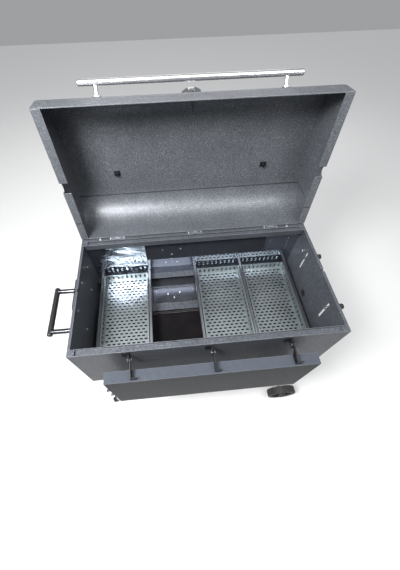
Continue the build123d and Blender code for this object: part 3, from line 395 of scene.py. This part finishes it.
def bead(mesh, start, end, out, size=0.0028, pitch=0.0034):
    """A weld bead of overlapping scales along a line, pressed against the corner it fills."""
    start, end, out = Vector(start), Vector(end), Vector(out).normalized()
    along = (end - start).normalized()
    count = max(2, int((end - start).length / pitch))
    turn = facing((0, 0, 0), out) if abs(along.dot(out)) < 0.9 else Matrix.Identity(4)
    for i in range(count):
        wobble = 0.00035 * sin(i * 2.3) + 0.0002 * sin(i * 5.1)
        middle = start.lerp(end, (i + 0.5) / count) + out * wobble
        grow = size * (1 + 0.10 * sin(i * 1.7))
        bmesh.ops.create_uvsphere(mesh, u_segments=8, v_segments=5, radius=grow,
                                  matrix=Matrix.Translation(middle) @ turn @ Matrix.Diagonal((1, 1, 0.62, 1)))


# The lid's own frame: X along the hinge, Y to the lid's back when shut, Z up when shut.
LID_OPEN = radians(96.5)
hinge_low, hinge_high = span("hinge_pins")
HINGE = Vector((MIDDLE.x, (hinge_low.y + hinge_high.y) / 2, (hinge_low.z + hinge_high.z) / 2))


def lid_direction(x, y, z):
    """A direction given in the lid's own frame, in the row's frame."""
    return Vector((x, y * cos(LID_OPEN) + z * sin(LID_OPEN), -y * sin(LID_OPEN) + z * cos(LID_OPEN)))


# Thermometer: enamelled face with ticks, a needle and its boss, behind the lens.
DIAL_ANGLE = radians(50)
lens_low, lens_high = span("thermometer_lens")
dial_out = lid_direction(0, -cos(DIAL_ANGLE), sin(DIAL_ANGLE))
dial_up = lid_direction(0, sin(DIAL_ANGLE), cos(DIAL_ANGLE))
dial_turn = Matrix((Vector((1, 0, 0)), dial_up, Vector((1, 0, 0)).cross(dial_up))).transposed().to_4x4()
dial_base = (lens_low + lens_high) / 2 - dial_out * 0.0038
DIAL = Matrix.Translation(dial_base) @ dial_turn
if (DIAL.to_3x3() @ Vector((0, 0, 1))).dot(dial_out) < 0:
    DIAL = Matrix.Translation(dial_base) @ dial_turn @ Matrix.Diagonal((-1, 1, -1, 1))

ENAMEL = plain_dark("white_enamel", (0.80, 0.80, 0.77), (0.25, 0.35), strength=0.03, worn=0.0, tone=0.93)
INK = plain_dark("dial_ink", (0.015, 0.015, 0.015), (0.4, 0.5), strength=0.05, worn=0.0)
RED = plain_dark("needle_red", (0.45, 0.02, 0.015), (0.3, 0.4), strength=0.05, worn=0.1)

face = bmesh.new()
turned(face, DIAL, [(0.0338, 0), (0.0342, 0.0002), (0.0342, 0.0006), (0.0338, 0.0008)], 64)
piece("dial_face", face, ENAMEL, "lid")
ticks = bmesh.new()
for i in range(28):
    angle = radians(225 - 270 * i / 27)
    outer, inner, wide = 0.0315, 0.0270 if i % 3 else 0.0245, 0.00035 if i % 3 else 0.0006
    ray, side = Vector((cos(angle), sin(angle), 0)), Vector((-sin(angle), cos(angle), 0))
    low = [ray * inner + side * wide, ray * inner - side * wide, ray * outer - side * wide,
           ray * outer + side * wide]
    bottom = [ticks.verts.new(DIAL @ (p + Vector((0, 0, 0.0008)))) for p in low]
    top = [ticks.verts.new(DIAL @ (p + Vector((0, 0, 0.00095)))) for p in low]
    ticks.faces.new(top)
    for k in range(4):
        ticks.faces.new((bottom[k], bottom[(k + 1) % 4], top[(k + 1) % 4], top[k]))
piece("dial_ticks", ticks, INK, "lid")
needle = bmesh.new()
NEEDLE = DIAL @ Matrix.Rotation(radians(215), 4, "Z")
outline = [(-0.007, -0.0011), (0.0, -0.0013), (0.0255, -0.0003), (0.0265, 0.0), (0.0255, 0.0003),
           (0.0, 0.0013), (-0.007, 0.0011)]
under = [needle.verts.new(NEEDLE @ Vector((x, y, 0.0014))) for x, y in outline]
above = [needle.verts.new(NEEDLE @ Vector((x, y, 0.0019))) for x, y in outline]
needle.faces.new(above)
needle.faces.new(under[::-1])
for k in range(len(outline)):
    j = (k + 1) % len(outline)
    needle.faces.new((under[k], under[j], above[j], above[k]))
turned(needle, DIAL, [(0.0030, 0.0009), (0.0032, 0.0012), (0.0032, 0.0021), (0.0024, 0.0024)], 32)
piece("dial_needle", needle, RED, "lid")

# Hexagon heads on the shelf's pivot bolts, either side of each arm's plate.
pivot_low, pivot_high = span("shelf_pivot_bolts")
pivot_y, pivot_z = (pivot_low.y + pivot_high.y) / 2, (pivot_low.z + pivot_high.z) / 2
HEAD_OFF = 0.005
heads = bmesh.new()
for arm in ("shelf_arm_left", "shelf_arm_middle", "shelf_arm_right"):
    arm_low, _ = span(arm)
    hex_head(heads, (arm_low.x - HEAD_OFF, pivot_y, pivot_z), (-1, 0, 0))
    hex_head(heads, (arm_low.x + HEAD_OFF, pivot_y, pivot_z), (1, 0, 0))
piece("pivot_hex_heads", heads, BOLT, "chest", 25)

# Countersunk screws in every hinge leaf.
LEAF_T = 0.0025
LEAF_SET = 0.007                  # from the pin back to the lid leaf's inner face
HINGE_XS = (-0.380, 0.0, 0.380)
SCREW_XS = (-0.021, 0.021)        # from a hinge's middle
SCREW_DROPS = (0.016, 0.033)      # from the rim, and from the hinge's pin on the lid
leaf_low, _ = span("chest_hinge_leaves")
screws = bmesh.new()
lid_screws = bmesh.new()
for hinge_x in HINGE_XS:
    for side in SCREW_XS:
        for drop in SCREW_DROPS:
            place = Vector((MIDDLE.x + hinge_x + side, leaf_low.y + LEAF_T, RIM - drop))
            turned(screws, facing(place - Vector((0, 0.0004, 0)), (0, 1, 0)),
                   [(0.0036, 0), (0.0036, 0.0005), (0.0028, 0.0013), (0.0012, 0.0015)], 20)
            spot = HINGE + lid_direction(hinge_x + side, LEAF_T - LEAF_SET, drop)
            turned(lid_screws, facing(spot, lid_direction(0, 1, 0)),
                   [(0.0036, -0.0004), (0.0036, 0.0001), (0.0028, 0.0009), (0.0012, 0.0011)], 20)
piece("chest_hinge_screws", screws, BRIGHT, "chest")
piece("lid_hinge_screws", lid_screws, BRIGHT, "lid")

# Weld beads where the legs meet the chest and the stretchers meet the legs.
LEG_W = 0.040
STRETCHER_W = 0.030
BEAD_DROP = 0.0008
welds = bmesh.new()
chest_bottom = span("chest_floor")[0].z - BEAD_DROP
stretch_low, stretch_high = span("stretchers")
for legs in ("left_legs", "right_legs"):
    leg_low, leg_high = span(legs)
    x_low, x_high = leg_low.x, leg_high.x
    for y_low, y_high in ((leg_low.y, leg_low.y + LEG_W), (leg_high.y - LEG_W, leg_high.y)):
        corners = [(x_low, y_low), (x_high, y_low), (x_high, y_high), (x_low, y_high)]
        for k in range(4):
            (xa, ya), (xb, yb) = corners[k], corners[(k + 1) % 4]
            bead(welds, (xa, ya, chest_bottom), (xb, yb, chest_bottom), (0, 0, -1))
    inner = x_high if x_low < MIDDLE.x else x_low
    for y_mid in (leg_low.y + LEG_W / 2, leg_high.y - LEG_W / 2):
        for z in (stretch_low.z, stretch_high.z):
            bead(welds, (inner, y_mid - STRETCHER_W / 2, z), (inner, y_mid + STRETCHER_W / 2, z), (1, 0, 0))
        for y in (y_mid - STRETCHER_W / 2, y_mid + STRETCHER_W / 2):
            bead(welds, (inner, y, stretch_low.z), (inner, y, stretch_high.z), (1, 0, 0))
piece("frame_welds", welds, CART, "chest", 60)

# ---------------------------------------------------------------- floor, light and camera
FLOOR = 6.0
floor_mesh = bpy.data.meshes.new("floor")
floor_mesh.from_pydata([(-FLOOR, -FLOOR, 0), (FLOOR, -FLOOR, 0), (FLOOR, FLOOR, 0), (-FLOOR, FLOOR, 0)],
                       [], [(0, 1, 2, 3)])
floor = bpy.data.objects.new("floor", floor_mesh)
bpy.context.collection.objects.link(floor)
floor_material, _, floor_shader = new_material("pale_floor")
floor_shader.inputs["Base Color"].default_value = (0.56, 0.56, 0.56, 1)
floor_shader.inputs["Roughness"].default_value = 0.9
floor.data.materials.append(floor_material)


def softbox(name, place, aim, size, power):
    """A rectangular area light at place, aimed at a point; both from the middle of the rim."""
    light = bpy.data.lights.new(name, "AREA")
    light.shape = "RECTANGLE"
    light.size, light.size_y = size
    light.energy = power
    lamp = bpy.data.objects.new(name, light)
    bpy.context.collection.objects.link(lamp)
    lamp.location = MIDDLE + Vector(place)
    lamp.rotation_euler = (Vector(aim) - Vector(place)).to_track_quat("-Z", "Y").to_euler()


softbox("overhead_light", (0.1, -0.18, 1.8), (0.1, -0.18, 0), (2.4, 0.4), 17)
softbox("front_top_light", (0.0, -1.5, 2.3), (0, 0, 0), (2.2, 0.8), 7)
softbox("key_left", (-1.05, -0.75, 1.75), (-0.3, 0.2, 0), (0.7, 0.6), 125)
softbox("key_right", (0.85, -0.6, 1.8), (0.3, 0.2, 0), (0.6, 0.6), 18)
softbox("left_light", (-2.8, -0.2, 1.2), (0, 0, 0), (1.0, 1.6), 18)
softbox("right_light", (2.8, 0.2, 1.4), (0, 0, 0), (1.0, 1.6), 10)
softbox("back_light", (0.2, 3.2, 1.0), (0, 0, -0.3), (2.4, 1.2), 20)

sun_data = bpy.data.lights.new("ceiling_light", "SUN")
sun_data.energy = 1.25
sun_data.angle = radians(60)
sun = bpy.data.objects.new("ceiling_light", sun_data)
bpy.context.collection.objects.link(sun)
sun.rotation_euler = Vector((0.08, 0.16, -1.0)).to_track_quat("-Z", "Y").to_euler()

world = bpy.data.worlds.new("studio")
world.use_nodes = True
world.node_tree.nodes["Background"].inputs["Color"].default_value = (0.95, 0.97, 1.0, 1)
world.node_tree.nodes["Background"].inputs["Strength"].default_value = 0.36
bpy.context.scene.world = world
bpy.context.scene.view_settings.view_transform = "Standard"

camera_data = bpy.data.cameras.new("camera")
camera_data.lens = 17.61
camera_data.sensor_width = 36.0
camera_data.shift_x = 0.027
camera_data.shift_y = -0.0057
camera_data.clip_start = 0.02
camera = bpy.data.objects.new("camera", camera_data)
bpy.context.collection.objects.link(camera)
camera.location = MIDDLE + Vector((-0.1312, -0.6502, 1.0245))
camera.rotation_euler = Euler((radians(32.81), radians(0.40), radians(-5.30)), "XYZ")
bpy.context.scene.camera = camera
